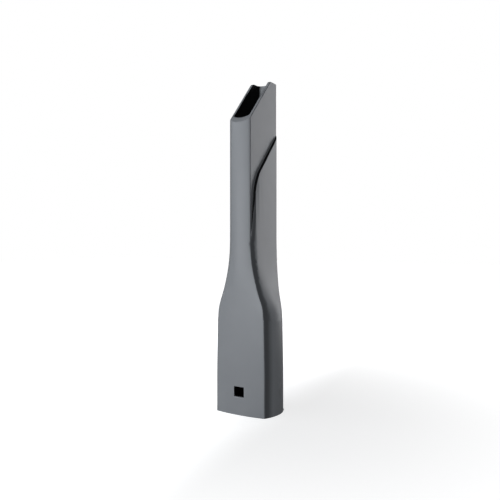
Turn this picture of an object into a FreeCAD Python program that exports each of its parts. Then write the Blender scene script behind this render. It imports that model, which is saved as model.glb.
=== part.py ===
import FreeCAD, Part
import math
import os

import Sketcher
from FreeCAD import Vector

doc = FreeCAD.newDocument("CreviceTool")

# Driving sizes in millimetres and degrees. X is across the tool, Y runs from its front face to its back,
# Z from the socket up to the mouth, and y = 0 is the plane of the two front edges.
sizes = {
    "overallLength": 270.0,
    "baseWidth": 43.8,
    "footWidth": 42.4,
    "neckWidth": 18.9,
    "baseDepth": 38.5,
    "neckDepth": 44.8,
    "baseBow": 1.95,
    "neckBow": 3.2,
    "baseEdgeRadius": 2.4,
    "neckEdgeRadius": 1.8,
    "baseCreaseOut": 2.3,
    "neckCreaseOut": 2.35,
    "baseCreaseBack": 4.5,
    "neckCreaseBack": 4.45,
    "footCrease": 2.5,
    "neckCrease": 21.0,
    "baseBulge": 4.9,
    "footBulge": 4.9,
    "neckBulge": 2.4,
    "baseApex": 17.0,
    "neckApex": 10.0,
    "baseSideRadius": 22.0,
    "neckSideRadius": 1500.0,
    "baseBackRadius": 17.0,
    "neckBackRadius": 6.8,
    "straightHeight": 35.0,
    "flareTop": 138.0,
    "hollowRadius": 133.0,
    "slopeLength": 1.464,
    "crestRadius": 48.0,
    "bulgeEase": 1.46,
    "apexEase": 0.6,
    "sideEase": 2.2,
    "wallThickness": 2.4,
    "socketDepth": 38.0,
    "socketStop": 1.6,
    "leadIn": 0.8,
    "ductInnerRadius": 1.2,
    "neckDuctBulge": 0.9,
    "ductEdgeShare": 0.78,
    "ductHalfShare": 0.75,
    "ductCornerShare": 0.9,
    "frontRim": 4.3,
    "mouthSideWall": 2.3,
    "mouthInnerBow": 1.3,
    "mouthInnerBulge": 0.1,
    "mouthFlat": 11.95,
    "mouthAngle": 47.4,
    "peakRadius": 4.0,
    "rimRadius": 0.5,
    "shoulderDrop": 41.5,
    "shoulderRise": 2.0,
    "shoulderSteepAngle": 82.9,
    "shoulderBend": 35.0,
    "windowWidth": 9.0,
    "windowHeight": 8.1,
    "windowCentreHeight": 18.3,
}
overrun = 12.0

sheet = doc.addObject("Spreadsheet::Sheet", "Sizes")
sheet_rows = 0


def put(name, text):
    global sheet_rows
    sheet_rows += 1
    sheet.set(f"A{sheet_rows}", name)
    sheet.set(f"B{sheet_rows}", text)
    sheet.setAlias(f"B{sheet_rows}", name)


for name, value in sizes.items():
    put(name, str(value))

# The flare seen from the front is a hollow arc, a straight slope and a crest arc, tangent to one another.
# Its slope is the one that takes the three of them from the neck's width to the foot's.
put("flareRadii", "=hollowRadius + crestRadius")
put("flareSlope", "=acos((flareRadii - (footWidth - neckWidth) / 2) / sqrt(flareRadii ^ 2 + slopeLength ^ 2))"
    " - atan(slopeLength / flareRadii)")
put("footHeight", "=flareTop - flareRadii * sin(flareSlope) - slopeLength * cos(flareSlope)")
put("halfBase", "=baseWidth / 2")
put("heightBase", "=0")
put("halfStraight", "=baseWidth / 2")
put("heightStraight", "=straightHeight")

# Stations of the flare: how much of the slope's angle is turned, and on which of the two arcs.
stations = [
    ("Foot", "crest", 0.0),
    ("CrestMiddle", "crest", 0.5),
    ("SlopeFoot", "crest", 1.0),
    ("SlopeHead", "hollow", 1.0),
    ("HollowLower", "hollow", 0.67),
    ("HollowUpper", "hollow", 0.33),
    ("Neck", "hollow", 0.0),
]
for station, side_of_slope, turn in stations:
    angle = f"{turn} * flareSlope"
    if side_of_slope == "crest":
        put("half" + station, f"=footWidth / 2 - crestRadius * (1 - cos({angle}))")
        put("height" + station, f"=footHeight + crestRadius * sin({angle})")
    else:
        put("half" + station, f"=neckWidth / 2 + hollowRadius * (1 - cos({angle}))")
        put("height" + station, f"=flareTop - hollowRadius * sin({angle})")

# Every shape of the cross-section goes from its neck value to its base value with the width.
socket_levels = ["Base", "Straight"]
flare_levels = [station for station, side_of_slope, turn in stations]
levels = socket_levels + flare_levels
for level in levels:
    if level in socket_levels or level == "Foot":
        put("mix" + level, "=1")
    else:
        put("mix" + level, f"=(half{level} - neckWidth / 2) / ((footWidth - neckWidth) / 2)")
    for shape in ("Depth", "Bow", "EdgeRadius", "CreaseOut", "CreaseBack", "BackRadius"):
        alias = shape[0].lower() + shape[1:] + level
        put(alias, f"=neck{shape} + (base{shape} - neck{shape}) * mix{level}")
    put("apex" + level, f"=neckApex + (baseApex - neckApex) * mix{level} ^ apexEase")
    if level in socket_levels:
        put("bulge" + level, "=baseBulge")
        put("crease" + level, "=0deg")
    else:
        put("bulge" + level, f"=neckBulge + (footBulge - neckBulge) * mix{level} ^ bulgeEase")
        put("crease" + level, f"=(neckCrease + (footCrease - neckCrease) * mix{level}) * 1deg")
    flat = f"mix{level} ^ sideEase"
    put("sideRadius" + level, f"=1 / ((1 - {flat}) / neckSideRadius + {flat} / baseSideRadius)")
    # the panel behind the crease, and the band between the front edge and the crease
    rise, run = f"(bulge{level} - creaseOut{level})", f"(apex{level} - creaseBack{level})"
    put("panelRadius" + level, f"=({rise} ^ 2 + {run} ^ 2) / (2 * {rise})")
    put("bandTurn" + level, f"=asin({run} / panelRadius{level}) + crease{level}")
    put("bandRadius" + level, f"=(creaseOut{level} ^ 2 + creaseBack{level} ^ 2) / (2 * (creaseOut{level}"
        f" * cos(bandTurn{level}) - creaseBack{level} * sin(bandTurn{level})))")

# The duct is the outside moved in by its wall, thicker above the socket so that it makes the stop.
for level in levels:
    if level == "Base":
        put("wallBase", "=wallThickness")
    else:
        put("wall" + level, f"=wallThickness + socketStop * mix{level}")
    put("ductEdge" + level, f"=ductEdgeShare * wall{level}")
    put("ductHalf" + level, f"=half{level} - ductHalfShare * wall{level}")
    put("ductBow" + level, f"=bow{level} - wall{level} + ductEdge{level}")
    swell = f"(bulge{level} + (neckDuctBulge - neckBulge) * (1 - mix{level}))"
    put("ductBulge" + level, f"=half{level} + {swell} - wall{level} - ductHalf{level}")
    put("ductDepth" + level, f"=depth{level} - wall{level}")
    put("ductSideRadius" + level, f"=sideRadius{level} - wall{level}")
    put("ductBackRadius" + level, f"=backRadius{level} - ductCornerShare * wall{level}")
put("mouthDuctHalf", "=neckWidth / 2 - mouthSideWall")
put("mouthDuctEdge", "=frontRim - neckBow + mouthInnerBow")
put("mouthDuctBack", "=neckDepth - wallThickness")
put("mouthFrontHeight", "=overallLength - (neckDepth - mouthFlat) * tan(mouthAngle * 1deg)")
put("shoulderBackHeight", "=overallLength - shoulderDrop")
put("shoulderFrontHeight", "=flareTop + shoulderRise")
doc.recompute()


def cell(name):
    value = sheet.get(name)
    return float(getattr(value, "Value", value))


body = doc.addObject("PartDesign::Body", "Tool")
body.Label = "crevice_tool"


def origin_plane(role):
    return next(item for item in body.Origin.OriginFeatures if item.Role == role)


def new_sketch(name, role, offset):
    sketch = body.newObject("Sketcher::SketchObject", name)
    sketch.AttachmentSupport = [(origin_plane(role), "")]
    sketch.MapMode = "FlatFace"
    sketch.setExpression("AttachmentOffset.Base.z", offset)
    return sketch


def bind(sketch, name, kind, *where):
    # Adds a measured constraint at its present value and ties it to its expression.
    formula = where[-1]
    index = sketch.addConstraint(Sketcher.Constraint(kind, *where[:-1]))
    sketch.renameConstraint(index, name)
    sketch.setExpression("Constraints." + name, formula)


def fix(sketch, kind, *where):
    sketch.addConstraint(Sketcher.Constraint(kind, *where))


def arc(centre, radius, start, end):
    circle = Part.Circle(Vector(centre[0], centre[1], 0), Vector(0, 0, 1), radius)
    return Part.ArcOfCircle(circle, math.radians(start), math.radians(end))


def heading(origin, target):
    return math.degrees(math.atan2(target[1] - origin[1], target[0] - origin[0]))


def evaluated(key):
    return cell(key.replace("Sizes.", "")) if key.startswith("Sizes.") else float(key)


def nook_centre(front, front_radius, band, band_radius, edge_radius, corner):
    # The rounded front edge lies inside both circles, near the corner where they would meet.
    gap = math.dist(front, band)
    along = ((front_radius - edge_radius) ** 2 - (band_radius - edge_radius) ** 2 + gap * gap) / (2 * gap)
    across = math.sqrt((front_radius - edge_radius) ** 2 - along * along)
    ux, uy = (band[0] - front[0]) / gap, (band[1] - front[1]) / gap
    foot_x, foot_y = front[0] + along * ux, front[1] + along * uy
    both = [(foot_x - way * across * uy, foot_y + way * across * ux) for way in (1, -1)]
    return min(both, key=lambda point: math.dist(point, corner))


def section(name, height, keys, crease_keys=None):
    # One cross-section: bowed front, rounded front edges, bulged sides, rounded back corners, flat back.
    # With crease keys, a crease runs down each side between a narrow band and the side panel.
    half, edge_depth, bow, bulge, apex, edge, side, corner, depth = keys
    h, y0, s, p, ya, r, rs, rc, d = (evaluated(key) for key in keys)
    rf = (h * h + s * s) / (2 * s)
    front = (0.0, y0 - s + rf)
    wall = (h + p - rs, ya)
    back = (wall[0] + math.sqrt((rs - rc) ** 2 - (d - rc - ya) ** 2), d - rc)
    turn_back = heading(wall, back)
    if crease_keys:
        crease_back, panel_radius, band_turn, band_radius = crease_keys
        yc, rp, turn, rb = (evaluated(key) for key in crease_keys)
        panel = (h + p - rp, ya)
        panel_start = -math.degrees(math.asin((ya - yc) / rp))
        crease = (panel[0] + rp * math.cos(math.radians(panel_start)), yc)
        band = (crease[0] - rb * math.cos(math.radians(turn)), yc + rb * math.sin(math.radians(turn)))
        band_end = -turn
    else:
        band_radius = f"({bulge} ^ 2 + ({apex} - {edge_depth}) ^ 2) / (2 * {bulge})"
        rb = (p * p + (ya - y0) ** 2) / (2 * p)
        band = (h + p - rb, ya)
        band_end = 0
    nook = nook_centre(front, rf, band, rb, r, (h, y0))
    turn_front = heading(front, nook)
    turn_band = heading(band, nook)
    right = [(nook, r, turn_front, turn_band), (band, rb, turn_band, band_end)]
    if crease_keys:
        right.append((panel, rp, panel_start, 0))
    right += [(wall, rs, 0, turn_back), (back, rc, turn_back, 90)]
    left = []
    for centre, radius, start, end in right[::-1]:
        left.append(((-centre[0], centre[1]), radius, 180 - end, 180 - start))

    sketch = new_sketch(name, "XY_Plane", height)
    sketch.addGeometry([arc(front, rf, -180 - turn_front, turn_front)] + [arc(*each) for each in right]
                       + [Part.LineSegment(Vector(back[0], d, 0), Vector(-back[0], d, 0))]
                       + [arc(*each) for each in left], False)
    count = 2 * len(right) + 2
    back_line = len(right) + 1
    at_apex = len(right) - 2
    for number in range(count):
        follower = (number + 1) % count
        creased = crease_keys and number in (2, count - 3)
        fix(sketch, "Coincident" if creased else "Tangent", number, 2, follower, 1)
    fix(sketch, "PointOnObject", 0, 3, -2)
    fix(sketch, "Horizontal", at_apex, 3, at_apex, 2)
    fix(sketch, "Horizontal", count - at_apex, 3, count - at_apex, 1)
    fix(sketch, "Symmetric", at_apex, 2, count - at_apex, 1, -2)
    fix(sketch, "Horizontal", back_line)
    for number in range(1, back_line):
        fix(sketch, "Equal", number, count - number)
    bow_radius = f"({half} ^ 2 + {bow} ^ 2) / (2 * {bow})"
    bind(sketch, "bowRadius", "Radius", 0, rf, bow_radius)
    bind(sketch, "bowCentre", "DistanceY", -1, 1, 0, 3, front[1], f"{edge_depth} - {bow} + {bow_radius}")
    bind(sketch, "edgeRadius", "Radius", 1, r, edge)
    bind(sketch, "bandRadius", "Radius", 2, rb, band_radius)
    if crease_keys:
        bind(sketch, "bandCentre", "DistanceY", -1, 1, 2, 3, band[1],
             f"{crease_back} + {band_radius} * sin({band_turn})")
        bind(sketch, "creaseDepth", "DistanceY", -1, 1, 2, 2, yc, crease_back)
        bind(sketch, "panelRadius", "Radius", 3, rp, panel_radius)
        fix(sketch, "Horizontal", 2, 2, count - 2, 1)
        fix(sketch, "Horizontal", 2, 3, count - 2, 3)
    bind(sketch, "apexHalf", "DistanceX", -1, 1, at_apex, 2, h + p, f"{half} + {bulge}")
    bind(sketch, "apexDepth", "DistanceY", -1, 1, at_apex, 2, ya, apex)
    bind(sketch, "sideRadius", "Radius", at_apex + 1, rs, side)
    bind(sketch, "cornerRadius", "Radius", at_apex + 2, rc, corner)
    bind(sketch, "backDepth", "DistanceY", -1, 1, back_line, 1, d, depth)
    return sketch


def outer_section(level):
    names = ["half", None, "bow", "bulge", "apex", "edgeRadius", "sideRadius", "backRadius", "depth"]
    keys = [f"Sizes.{name}{level}" if name else "0" for name in names]
    crease_keys = [f"Sizes.{name}{level}" for name in ("creaseBack", "panelRadius", "bandTurn", "bandRadius")]
    return section("Outer" + level, "Sizes.height" + level, keys, crease_keys)


def duct_section(level, name, height):
    names = ["ductHalf", "ductEdge", "ductBow", "ductBulge", "apex", None, "ductSideRadius",
             "ductBackRadius", "ductDepth"]
    keys = [f"Sizes.{alias}{level}" if alias else "Sizes.ductInnerRadius" for alias in names]
    return section(name, height, keys)


def feature(kind, name, profile, **settings):
    item = body.newObject("PartDesign::" + kind, name)
    item.Profile = profile
    for key, value in settings.items():
        setattr(item, key, value)
    return item


def edges_where(solid, wanted):
    return [f"Edge{number}" for number, edge in enumerate(solid.Edges, 1) if wanted(edge)]


# Outside: the socket's straight foot, the flare and the neck up to the highest point of the mouth.
outer = {level: outer_section(level) for level in levels}
foot = feature("Pad", "SocketOuter", outer["Base"])
foot.setExpression("Length", "Sizes.straightHeight")
feature("AdditiveLoft", "FootTaper", outer["Straight"], Sections=[outer["Foot"]], Ruled=True)
feature("AdditiveLoft", "Flare", outer["Foot"], Sections=[outer[level] for level in flare_levels[1:]])
neck = feature("Pad", "NeckOuter", outer["Neck"])
neck.setExpression("Length", "Sizes.overallLength - Sizes.flareTop")
doc.recompute()

# Mouth: the slanted cut, seen from the side, that leaves a short flat top at the back.
mouth_low = cell("mouthFrontHeight")
slant = math.radians(cell("mouthAngle"))
top = cell("overallLength")
peak_depth = (top + overrun - mouth_low) / math.tan(slant)
mouth_side = new_sketch("MouthSide", "YZ_Plane", "0")
corners = [
    Vector(-overrun, mouth_low - overrun * math.tan(slant), 0),
    Vector(peak_depth, top + overrun, 0),
    Vector(-overrun, top + overrun, 0),
]
mouth_side.addGeometry([Part.LineSegment(corners[i], corners[(i + 1) % 3]) for i in range(3)], False)
for number in range(3):
    fix(mouth_side, "Coincident", number, 2, (number + 1) % 3, 1)
fix(mouth_side, "Horizontal", 1)
fix(mouth_side, "Vertical", 2)
bind(mouth_side, "reach", "DistanceX", 0, 1, -1, 1, overrun, str(overrun))
bind(mouth_side, "lowEnd", "DistanceY", -1, 1, 0, 1, corners[0].y,
     f"Sizes.mouthFrontHeight - {overrun} * tan(Sizes.mouthAngle * 1deg)")
bind(mouth_side, "slant", "Angle", -1, 1, 0, 1, slant, "Sizes.mouthAngle * 1deg")
bind(mouth_side, "highEnd", "DistanceY", -1, 1, 0, 2, top + overrun, f"Sizes.overallLength + {overrun}")
mouth = feature("Pocket", "MouthCut", mouth_side, Type=1, Midplane=True)
doc.recompute()


def above_slant(point):
    return point.z - mouth_low - point.y * math.tan(slant)


def is_ridge(edge):
    ends_on_slant = all(abs(above_slant(vertex.Point)) < 0.01 for vertex in edge.Vertexes)
    return ends_on_slant and edge.BoundBox.ZLength < 0.01 and abs(edge.BoundBox.ZMax - top) < 0.01


ridge = body.newObject("PartDesign::Fillet", "MouthRidge")
ridge.Base = (mouth, edges_where(mouth.Shape, is_ridge))
ridge.setExpression("Radius", "Sizes.peakRadius")
doc.recompute()

# Shoulder: above this line the two sides step in to the flat sides of the tip.
steep = math.radians(cell("shoulderSteepAngle"))
back_depth = cell("neckDepth")
back_height = cell("shoulderBackHeight")
front_height = cell("shoulderFrontHeight")
bend_radius = cell("shoulderBend")
# where the slanted and the steep line would meet, and the bend between them
meet_y = (back_height - back_depth * math.tan(slant) - front_height) / (math.tan(steep) - math.tan(slant))
meet_z = front_height + meet_y * math.tan(steep)
run = bend_radius * math.tan((steep - slant) / 2)
bend_low = Vector(meet_y - run * math.cos(steep), meet_z - run * math.sin(steep), 0)
bend_high = Vector(meet_y + run * math.cos(slant), meet_z + run * math.sin(slant), 0)
bend_centre = bend_low + Vector(math.sin(steep), -math.cos(steep), 0) * bend_radius
low = Vector(-overrun, front_height - overrun * math.tan(steep), 0)
high = Vector(back_depth + overrun, back_height + overrun * math.tan(slant), 0)
ceiling = top + 2 * overrun
for name, way in (("Right", 1), ("Left", -1)):
    shoulder = new_sketch("Shoulder" + name, "YZ_Plane", f"{way} * Sizes.neckWidth / 2")
    shoulder.addGeometry([
        Part.LineSegment(low, bend_low),
        arc(bend_centre, bend_radius, math.degrees(slant) + 90, math.degrees(steep) + 90),
        Part.LineSegment(bend_high, high),
        Part.LineSegment(high, Vector(high.x, ceiling, 0)),
        Part.LineSegment(Vector(high.x, ceiling, 0), Vector(low.x, ceiling, 0)),
        Part.LineSegment(Vector(low.x, ceiling, 0), low),
    ], False)
    fix(shoulder, "Tangent", 0, 2, 1, 2)
    fix(shoulder, "Tangent", 1, 1, 2, 1)
    for number in (2, 3, 4):
        fix(shoulder, "Coincident", number, 2, number + 1, 1)
    fix(shoulder, "Coincident", 5, 2, 0, 1)
    fix(shoulder, "Vertical", 3)
    fix(shoulder, "Horizontal", 4)
    fix(shoulder, "Vertical", 5)
    bind(shoulder, "bendRadius", "Radius", 1, bend_radius, "Sizes.shoulderBend")
    bind(shoulder, "reachFront", "DistanceX", 0, 1, -1, 1, overrun, str(overrun))
    bind(shoulder, "steepStart", "DistanceY", -1, 1, 0, 1, low.y,
         f"Sizes.shoulderFrontHeight - {overrun} * tan(Sizes.shoulderSteepAngle * 1deg)")
    bind(shoulder, "steepAngle", "Angle", -1, 1, 0, 1, steep, "Sizes.shoulderSteepAngle * 1deg")
    bind(shoulder, "reachBack", "DistanceX", -1, 1, 2, 2, high.x, f"Sizes.neckDepth + {overrun}")
    bind(shoulder, "slantEnd", "DistanceY", -1, 1, 2, 2, high.y,
         f"Sizes.shoulderBackHeight + {overrun} * tan(Sizes.mouthAngle * 1deg)")
    bind(shoulder, "slantAngle", "Angle", -1, 1, 2, 1, slant, "Sizes.mouthAngle * 1deg")
    bind(shoulder, "ceiling", "DistanceY", -1, 1, 4, 1, ceiling, f"Sizes.overallLength + {2 * overrun}")
    step = feature("Pocket", "Step" + name, shoulder, Type=1, Reversed=way > 0)
doc.recompute()


def on_rim(point):
    on_fillet = mouth_low < point.z < top and above_slant(point) > -1.0
    return on_fillet or abs(point.z - top) < 0.01 or abs(above_slant(point)) < 0.01


def is_rim(edge):
    middle = edge.valueAt((edge.FirstParameter + edge.LastParameter) / 2)
    first = edge.Vertexes[0].Point
    box = edge.BoundBox
    # the lines where the ridge's rounding begins and ends run right across, inside the rim
    crosses = box.YLength < 0.01 and abs(box.XLength - 2 * abs(first.x)) < 0.5 and first.y < back_depth - 1.0
    return not crosses and all(on_rim(point) for point in (first, middle, edge.Vertexes[-1].Point))


rim = body.newObject("PartDesign::Fillet", "MouthRim")
rim.Base = (step, edges_where(step.Shape, is_rim))
rim.setExpression("Radius", "Sizes.rimRadius")
doc.recompute()

# Inside: the straight socket, its stop, the duct through the flare and the tapering duct to the mouth.
socket = feature("Pocket", "Socket", duct_section("Base", "SocketInner", "0"), Reversed=True)
socket.setExpression("Length", "Sizes.socketDepth")
doc.recompute()
rim_face = next(face for face in socket.Shape.Faces if face.BoundBox.ZMax < 0.01)
opening = next(wire for wire in rim_face.Wires if not wire.isSame(rim_face.OuterWire))
lead = body.newObject("PartDesign::Chamfer", "SocketLeadIn")
lead.Base = (socket, edges_where(socket.Shape, lambda edge: any(edge.isSame(other) for other in opening.Edges)))
lead.setExpression("Size", "Sizes.leadIn")
duct = {level: duct_section(level, "Duct" + level, "Sizes.height" + level) for level in flare_levels}
stop = duct_section("Straight", "DuctStop", "Sizes.socketDepth - 0.5")
feature("SubtractiveLoft", "FootDuct", stop, Sections=[duct["Foot"]], Ruled=True)
feature("SubtractiveLoft", "FlareDuct", duct["Foot"], Sections=[duct[level] for level in flare_levels[1:]])
mouth_inner = section("MouthInner", "Sizes.overallLength + 1", [
    "Sizes.mouthDuctHalf", "Sizes.mouthDuctEdge", "Sizes.mouthInnerBow", "Sizes.mouthInnerBulge", "Sizes.neckApex",
    "Sizes.ductInnerRadius", "Sizes.neckSideRadius", "Sizes.ductBackRadiusNeck", "Sizes.mouthDuctBack"])
feature("SubtractiveLoft", "NeckDuct", duct["Neck"], Sections=[mouth_inner], Ruled=True)
doc.recompute()

# Latch window through the front wall of the socket.
window_side = new_sketch("WindowFront", "XZ_Plane", "0")
half_window = cell("windowWidth") / 2
window_low = cell("windowCentreHeight") - cell("windowHeight") / 2
window_high = cell("windowCentreHeight") + cell("windowHeight") / 2
corners = [
    Vector(-half_window, window_low, 0),
    Vector(half_window, window_low, 0),
    Vector(half_window, window_high, 0),
    Vector(-half_window, window_high, 0),
]
window_side.addGeometry([Part.LineSegment(corners[i], corners[(i + 1) % 4]) for i in range(4)], False)
for number in range(4):
    fix(window_side, "Coincident", number, 2, (number + 1) % 4, 1)
fix(window_side, "Horizontal", 2)
fix(window_side, "Vertical", 1)
fix(window_side, "Symmetric", 0, 1, 0, 2, -2)
bind(window_side, "width", "DistanceX", 0, 1, 0, 2, 2 * half_window, "Sizes.windowWidth")
bind(window_side, "height", "DistanceY", 1, 1, 1, 2, window_high - window_low, "Sizes.windowHeight")
bind(window_side, "sill", "DistanceY", -1, 1, 0, 1, window_low, "Sizes.windowCentreHeight - Sizes.windowHeight / 2")
window = feature("Pocket", "LatchWindow", window_side, Midplane=True)
window.setExpression("Length", "2 * (Sizes.baseBow + Sizes.wallThickness + 3)")

# The part stands with the middle of its base over the origin.
body.setExpression("Placement.Base.y", "-(Sizes.neckDepth - Sizes.neckBow) / 2")
doc.recompute()

for item in doc.Objects:
    if "Invalid" in item.State or "Error" in item.State:
        raise SystemExit(f"{item.Name} failed: {item.State}")
if body.Shape.isNull() or not body.Shape.isValid() or len(body.Shape.Solids) != 1:
    raise SystemExit("the tool is not one valid solid")

os.makedirs("parts", exist_ok=True)
body.Shape.exportStep("parts/crevice_tool.step")
print(body.Shape.BoundBox, round(body.Shape.Volume))
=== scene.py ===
import math

import bpy
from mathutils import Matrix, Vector

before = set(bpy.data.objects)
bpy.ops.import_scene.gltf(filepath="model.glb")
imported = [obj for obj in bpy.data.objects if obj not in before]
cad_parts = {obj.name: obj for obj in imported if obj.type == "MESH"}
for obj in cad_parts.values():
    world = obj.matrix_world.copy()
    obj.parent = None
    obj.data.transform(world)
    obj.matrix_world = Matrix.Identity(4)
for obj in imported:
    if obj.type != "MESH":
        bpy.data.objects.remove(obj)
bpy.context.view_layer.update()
scene = bpy.context.scene
scene.view_settings.view_transform = "Standard"
print("frame loaded:", sorted(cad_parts))


def heading(degrees):
    turn = math.radians(degrees)
    return Vector((math.sin(turn), -math.cos(turn), 0.0))  # level, counted from -Y towards +X


def feed(tree, node, socket, value):
    if isinstance(value, bpy.types.NodeSocket):
        tree.links.new(value, node.inputs[socket])
    else:
        node.inputs[socket].default_value = value


def addNode(tree, kind, inputs=None, **settings):
    node = tree.nodes.new(kind)
    for name, value in settings.items():
        setattr(node, name, value)
    for socket, value in (inputs or {}).items():
        feed(tree, node, socket, value)
    return node


def ramp(tree, value, ends, heights=(0.0, 1.0), ease="SMOOTHSTEP"):
    inputs = {"Value": value, "From Min": ends[0], "From Max": ends[1]}
    inputs["To Min"], inputs["To Max"] = heights
    return addNode(tree, "ShaderNodeMapRange", inputs, interpolation_type=ease).outputs["Result"]


def mixColours(tree, factor, first, second, blend="MIX"):
    inputs = {"Factor": factor, "A": first, "B": second}
    return addNode(tree, "ShaderNodeMix", inputs, data_type="RGBA", blend_type=blend).outputs["Result"]


def multiply(tree, first, second):
    return addNode(tree, "ShaderNodeMath", {0: first, 1: second}, operation="MULTIPLY").outputs["Value"]


def vectorMath(tree, operation, first, second=None):
    inputs = {0: first} if second is None else {0: first, 1: second}
    node = addNode(tree, "ShaderNodeVectorMath", inputs, operation=operation)
    return node.outputs["Value" if operation in ("DOT_PRODUCT", "LENGTH") else "Vector"]


def newMaterial(name):
    material = bpy.data.materials.new(name)
    material.use_nodes = True
    tree = material.node_tree
    return material, tree, tree.nodes["Principled BSDF"]


shell = {
    "colour": (0.145, 0.151, 0.159, 1.0),
    "paleColour": (0.168, 0.174, 0.182, 1.0),
    "drift": {"Scale": 38.0, "Detail": 3.0, "Roughness": 0.55},
    "specular": 0.5,
    "roughness": (0.35, 0.42),
    "handling": {"Scale": 90.0, "Detail": 4.0},
    "grainSize": 0.0003,
    "grainDepth": 0.000008,
    "grainDetail": 2.0,
    "grainStrength": 0.5,
    "cornerReach": 0.0010,
    "cornerSamples": 8,
    "rubAndHighlightTurn": (0.97, 0.75),  # likeness of the two normals: where the rubbing and painted highlight start, where they are full
    "rubAndHighlightGain": 0.35,
    # painted shade on the band between the front and the sides
    "bandShadeColour": (0.05, 0.052, 0.055, 1.0),
    "bandShadeFacing": 52,  # degrees from the front, to either side
    "bandShadeSpread": (22, 9),  # degrees off that: where the painted shade starts, where it is full
    "weldReach": 0.00001,
    "smoothAngle": 25,
    "flatWeight": 100,
}
# painted shade: the walls inside the duct and the slanted step are painted near black, with a dull gloss,
# for the shade that falls in the duct and along the step; no corner of them is painted paler
paintedShadeInside = {
    **shell,
    "colour": (0.0015, 0.0016, 0.0018, 1.0),
    "paleColour": (0.002, 0.0021, 0.0024, 1.0),
    "bandShadeColour": (0.0015, 0.0016, 0.0018, 1.0),
    "specular": 0.08,
    "roughness": (0.62, 0.72),
    "grainSize": 0.0006,
    "grainDepth": 0.00002,
    "cornerReach": 0.0002,
    "rubAndHighlightGain": 0.0,
}


# corners are painted paler: rubbing wear together with a painted highlight along the rounded edges
def rubAndHighlightCorners(tree, look, colour, facing, rounded):
    likeness = vectorMath(tree, "DOT_PRODUCT", rounded, facing)  # low where the rounded normal turns away
    rubAndHighlightMask = ramp(tree, likeness, look["rubAndHighlightTurn"], (0.0, look["rubAndHighlightGain"]), "LINEAR")
    return mixColours(tree, rubAndHighlightMask, colour, look["paleColour"], "ADD")


# painted shade: the narrow band between the front and the sides is painted darker, standing in for the dark
# reflection it catches; it is found by the way it faces
def paintBandShade(tree, look, colour, facing):
    parts = addNode(tree, "ShaderNodeSeparateXYZ", {"Vector": facing}).outputs
    eitherSide = addNode(tree, "ShaderNodeMath", {0: parts["X"]}, operation="ABSOLUTE").outputs["Value"]
    level = addNode(tree, "ShaderNodeCombineXYZ", {"X": eitherSide, "Y": parts["Y"]}).outputs["Vector"]
    unit = vectorMath(tree, "NORMALIZE", level)
    toBand = vectorMath(tree, "DOT_PRODUCT", unit, heading(look["bandShadeFacing"]))
    ends = [math.cos(math.radians(degrees)) for degrees in look["bandShadeSpread"]]
    return mixColours(tree, ramp(tree, toBand, ends), colour, look["bandShadeColour"])


def mouldedPlastic(name, look):
    material, tree, shader = newMaterial(name)
    place = addNode(tree, "ShaderNodeTexCoord").outputs["Object"]
    facing = addNode(tree, "ShaderNodeNewGeometry").outputs["Normal"]
    bevel = addNode(tree, "ShaderNodeBevel", {"Radius": look["cornerReach"]}, samples=look["cornerSamples"])
    rounded = bevel.outputs["Normal"]

    # slow drift of the colour, as in any dark moulding
    drift = addNode(tree, "ShaderNodeTexNoise", {"Vector": place, **look["drift"]}).outputs["Fac"]
    tint = mixColours(tree, drift, look["colour"], look["paleColour"])
    # paler corners, rubbed and with a painted highlight
    withRubAndHighlight = rubAndHighlightCorners(tree, look, tint, facing, rounded)
    # painted shade on the band between the front and the sides
    feed(tree, shader, "Base Color", paintBandShade(tree, look, withRubAndHighlight, facing))
    feed(tree, shader, "Specular IOR Level", look["specular"])

    # spark-eroded grain of the mould, on corners that shade as slightly round
    grainInputs = {"Vector": place, "Scale": 1.0 / look["grainSize"], "Detail": look["grainDetail"]}
    grain = addNode(tree, "ShaderNodeTexNoise", grainInputs).outputs["Fac"]
    bump = addNode(tree, "ShaderNodeBump", {"Height": grain, "Normal": rounded})
    feed(tree, bump, "Strength", look["grainStrength"])
    feed(tree, bump, "Distance", look["grainDepth"])
    feed(tree, shader, "Normal", bump.outputs["Normal"])

    # the gloss varies with handling
    handling = addNode(tree, "ShaderNodeTexNoise", {"Vector": place, **look["handling"]}).outputs["Fac"]
    feed(tree, shader, "Roughness", ramp(tree, handling, (0.0, 1.0), look["roughness"], "LINEAR"))
    return material


# where the painted shade goes: heights and reaches in metres, turns as parts of a face's normal
paintedShadePlaces = {
    "flareTop": 0.136,  # below it, every face that looks inwards is a wall of the duct
    "neckDuctHalf": 0.0088,  # above it, only those this near the middle
    "mouthFoot": 0.2,  # above it, the duct's back wall shows at the mouth and is left satin
    "tipHalf": 0.00946,  # the slanted step stands out past here on both sides
    "stepHeights": (0.139, 0.24),
    "inwardsBy": 0.0005,  # in metres, so that faces which look straight up or down aren't walls
    "wallFrontward": 0.7,
    "stepFrontward": 0.5,
    "stepAside": 0.02,
}


def isPaintedShade(face, at):
    x, y, z = face.center
    facing = face.normal
    inwards = x * facing.x + y * facing.y < -at["inwardsBy"] * abs(facing.z)
    inDuct = inwards and (z < at["flareTop"] or abs(x) < at["neckDuctHalf"])
    backOfMouth = facing.y < -at["wallFrontward"] and z > at["mouthFoot"]
    frontward = facing.y < -at["stepFrontward"] and abs(facing.x) < at["stepAside"]
    stepFoot, stepTop = at["stepHeights"]
    onStep = frontward and abs(x) > at["tipHalf"] and stepFoot < z < stepTop
    return onStep or (inDuct and not backOfMouth)


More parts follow.
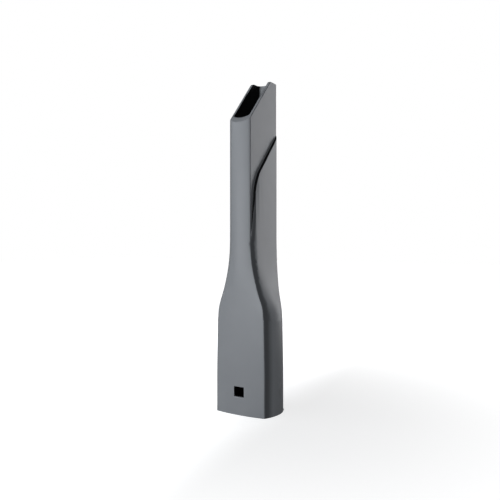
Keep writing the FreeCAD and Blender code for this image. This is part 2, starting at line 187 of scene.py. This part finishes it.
def dressTool(tool):
    tool.data.materials.clear()
    tool.data.materials.append(mouldedPlastic("dark satin plastic", shell))
    # the second material is painted shade: near-black walls of the duct and the slanted step
    tool.data.materials.append(mouldedPlastic("painted shade inside", paintedShadeInside))
    for face in tool.data.polygons:
        face.material_index = 1 if isPaintedShade(face, paintedShadePlaces) else 0
    weld = tool.modifiers.new("weld", "WELD")
    weld.merge_threshold = shell["weldReach"]
    bpy.context.view_layer.objects.active = tool
    tool.select_set(True)
    bpy.ops.object.shade_auto_smooth(angle=math.radians(shell["smoothAngle"]))
    flatFaces = tool.modifiers.new("flat faces stay flat", "WEIGHTED_NORMAL")
    flatFaces.mode = "FACE_AREA"
    flatFaces.weight = shell["flatWeight"]
    flatFaces.keep_sharp = True


dressTool(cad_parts["crevice_tool"])
print("tool dressed")


floor = {
    "size": 6.0,
    "roughness": 0.9,
    "specular": 0.0,
    "paleColour": (0.92, 0.92, 0.92, 1.0),
    # painted shade: the floor's darker tone on the right of the tool, seen in its reflections
    "paintedShadeColour": (0.28, 0.28, 0.28, 1.0),
    "paleSide": -85,  # azimuth of the pale half, left of the tool
    "blend": (-0.04, 0.03),  # metres from the middle, towards the pale side
    "glowColour": (1.0, 1.0, 1.0, 1.0),
    "glowNear": 0.7,
    "glowFar": 1.0,
    "fade": (0.05, 0.35),
    "underMiddle": (0.0, -0.0038, 0.0),  # the rounded box of the tool's foot
    "underHalf": (0.0256, 0.019, 1.0),
    "underEdge": (0.93, 1.0),
}


# pale on the left of the tool; on its right a painted shade, a darker tone that the tool's side and foot
# reflect
def floorPaleAndPaintedShade(tree, look, ground):
    across = vectorMath(tree, "DOT_PRODUCT", ground, heading(look["paleSide"]))
    return mixColours(tree, ramp(tree, across, look["blend"]), look["paintedShadeColour"], look["paleColour"])


# 1 past the edge of a rounded box under the tool and 0 inside it, where only the window shows the floor
def outsideTool(tree, look, ground):
    fromMiddle = vectorMath(tree, "SUBTRACT", ground, look["underMiddle"])
    inHalves = vectorMath(tree, "DIVIDE", fromMiddle, look["underHalf"])
    squares = vectorMath(tree, "MULTIPLY", inHalves, inHalves)
    return ramp(tree, vectorMath(tree, "LENGTH", squares), look["underEdge"])


# for the camera the floor turns to white away from the tool, and shows its shadow near it
def floorGlow(tree, look, ground):
    reach = vectorMath(tree, "LENGTH", ground)
    glow = ramp(tree, reach, look["fade"], (look["glowNear"], look["glowFar"]))
    cameraRay = addNode(tree, "ShaderNodeLightPath").outputs["Is Camera Ray"]
    return multiply(tree, outsideTool(tree, look, ground), multiply(tree, cameraRay, glow))


def paleFloor(look):
    half = look["size"] / 2
    corners = [(-half, -half, 0), (half, -half, 0), (half, half, 0), (-half, half, 0)]
    mesh = bpy.data.meshes.new("floor")
    mesh.from_pydata(corners, [], [(0, 1, 2, 3)])
    obj = bpy.data.objects.new("floor", mesh)
    scene.collection.objects.link(obj)
    material, tree, shader = newMaterial("pale floor")
    ground = addNode(tree, "ShaderNodeTexCoord").outputs["Object"]
    feed(tree, shader, "Base Color", floorPaleAndPaintedShade(tree, look, ground))
    feed(tree, shader, "Roughness", look["roughness"])
    feed(tree, shader, "Specular IOR Level", look["specular"])
    feed(tree, shader, "Emission Color", look["glowColour"])
    feed(tree, shader, "Emission Strength", floorGlow(tree, look, ground))
    mesh.materials.append(material)


paleFloor(floor)
print("floor laid")


cool, mild = (0.955, 0.99, 1.032), (0.985, 0.99, 1.018)
# a softbox is a stack of panels from the floor up, each (height, level); level is the panel's own brightness
softboxes = {
    "front": {"azimuth": 0, "distance": 1.0, "width": 1.68, "tint": cool,
              "panels": {"foot": (0.12, 5.7), "low": (0.18, 3.2), "high": (0.6, 2.1)}},
    "left": {"azimuth": -60, "distance": 1.0, "width": 0.73, "tint": cool,
             "panels": {"low": (0.3, 0.7), "high": (0.6, 1.8)}},
    "right": {"azimuth": 130, "distance": 0.6, "width": 0.21, "tint": mild,
              "panels": {"low": (0.18, 0.2), "high": (0.36, 0.3)}},
    "back right": {"azimuth": 153, "distance": 0.6, "width": 0.27, "tint": mild,
                   "panels": {"whole": (0.54, 2.5)}},
    "rear": {"azimuth": 180, "distance": 0.6, "width": 0.32, "tint": mild,
             "panels": {"whole": (0.54, 0.7)}},
}
overhead = {"height": 1.2, "width": 1.0, "depth": 1.0, "level": 0.5, "tint": cool}


def lightPanel(name, width, height, level, tint):
    light = bpy.data.lights.new(name, "AREA")
    light.shape = "RECTANGLE"
    light.size = width
    light.size_y = height
    light.energy = level * math.pi * width * height
    light.color = tint
    panel = bpy.data.objects.new(name, light)
    scene.collection.objects.link(panel)
    return panel


def standSoftbox(name, look):
    foot = 0.0
    for part, (height, level) in look["panels"].items():
        panel = lightPanel(f"{name} {part}", look["width"], height, level, look["tint"])
        panel.location = heading(look["azimuth"]) * look["distance"]
        panel.location.z = foot + height / 2
        panel.rotation_euler = (math.radians(90), 0, math.radians(look["azimuth"]))
        foot += height


for name, look in softboxes.items():
    standSoftbox(name, look)
ceiling = lightPanel("overhead", overhead["width"], overhead["depth"], overhead["level"], overhead["tint"])
ceiling.location.z = overhead["height"]

room = {"colour": (1.0, 1.0, 1.0, 1.0), "seen": 1.0, "light": 0.08}


# white where the camera looks, dim where it lights the tool
def studioRoom(look):
    world = bpy.data.worlds.new("studio")
    world.use_nodes = True
    scene.world = world
    tree = world.node_tree
    cameraRay = addNode(tree, "ShaderNodeLightPath").outputs["Is Camera Ray"]
    strength = addNode(tree, "ShaderNodeMix", {"Factor": cameraRay, "A": look["light"], "B": look["seen"]})
    feed(tree, tree.nodes["Background"], "Color", look["colour"])
    feed(tree, tree.nodes["Background"], "Strength", strength.outputs["Result"])


studioRoom(room)
print("studio lit")


# the photograph's view: metres, degrees from the front, millimetres, and a share of the frame
view = {"place": (0.23139, -0.39828, 0.13718), "turn": 30.5, "lens": 40.33, "rise": -0.018}
camera = bpy.data.objects.new("camera", bpy.data.cameras.new("camera"))
camera.location = view["place"]
camera.rotation_euler = (math.radians(90), 0, math.radians(view["turn"]))
camera.data.lens = view["lens"]
camera.data.shift_y = view["rise"]
scene.collection.objects.link(camera)
scene.camera = camera
print("camera placed")
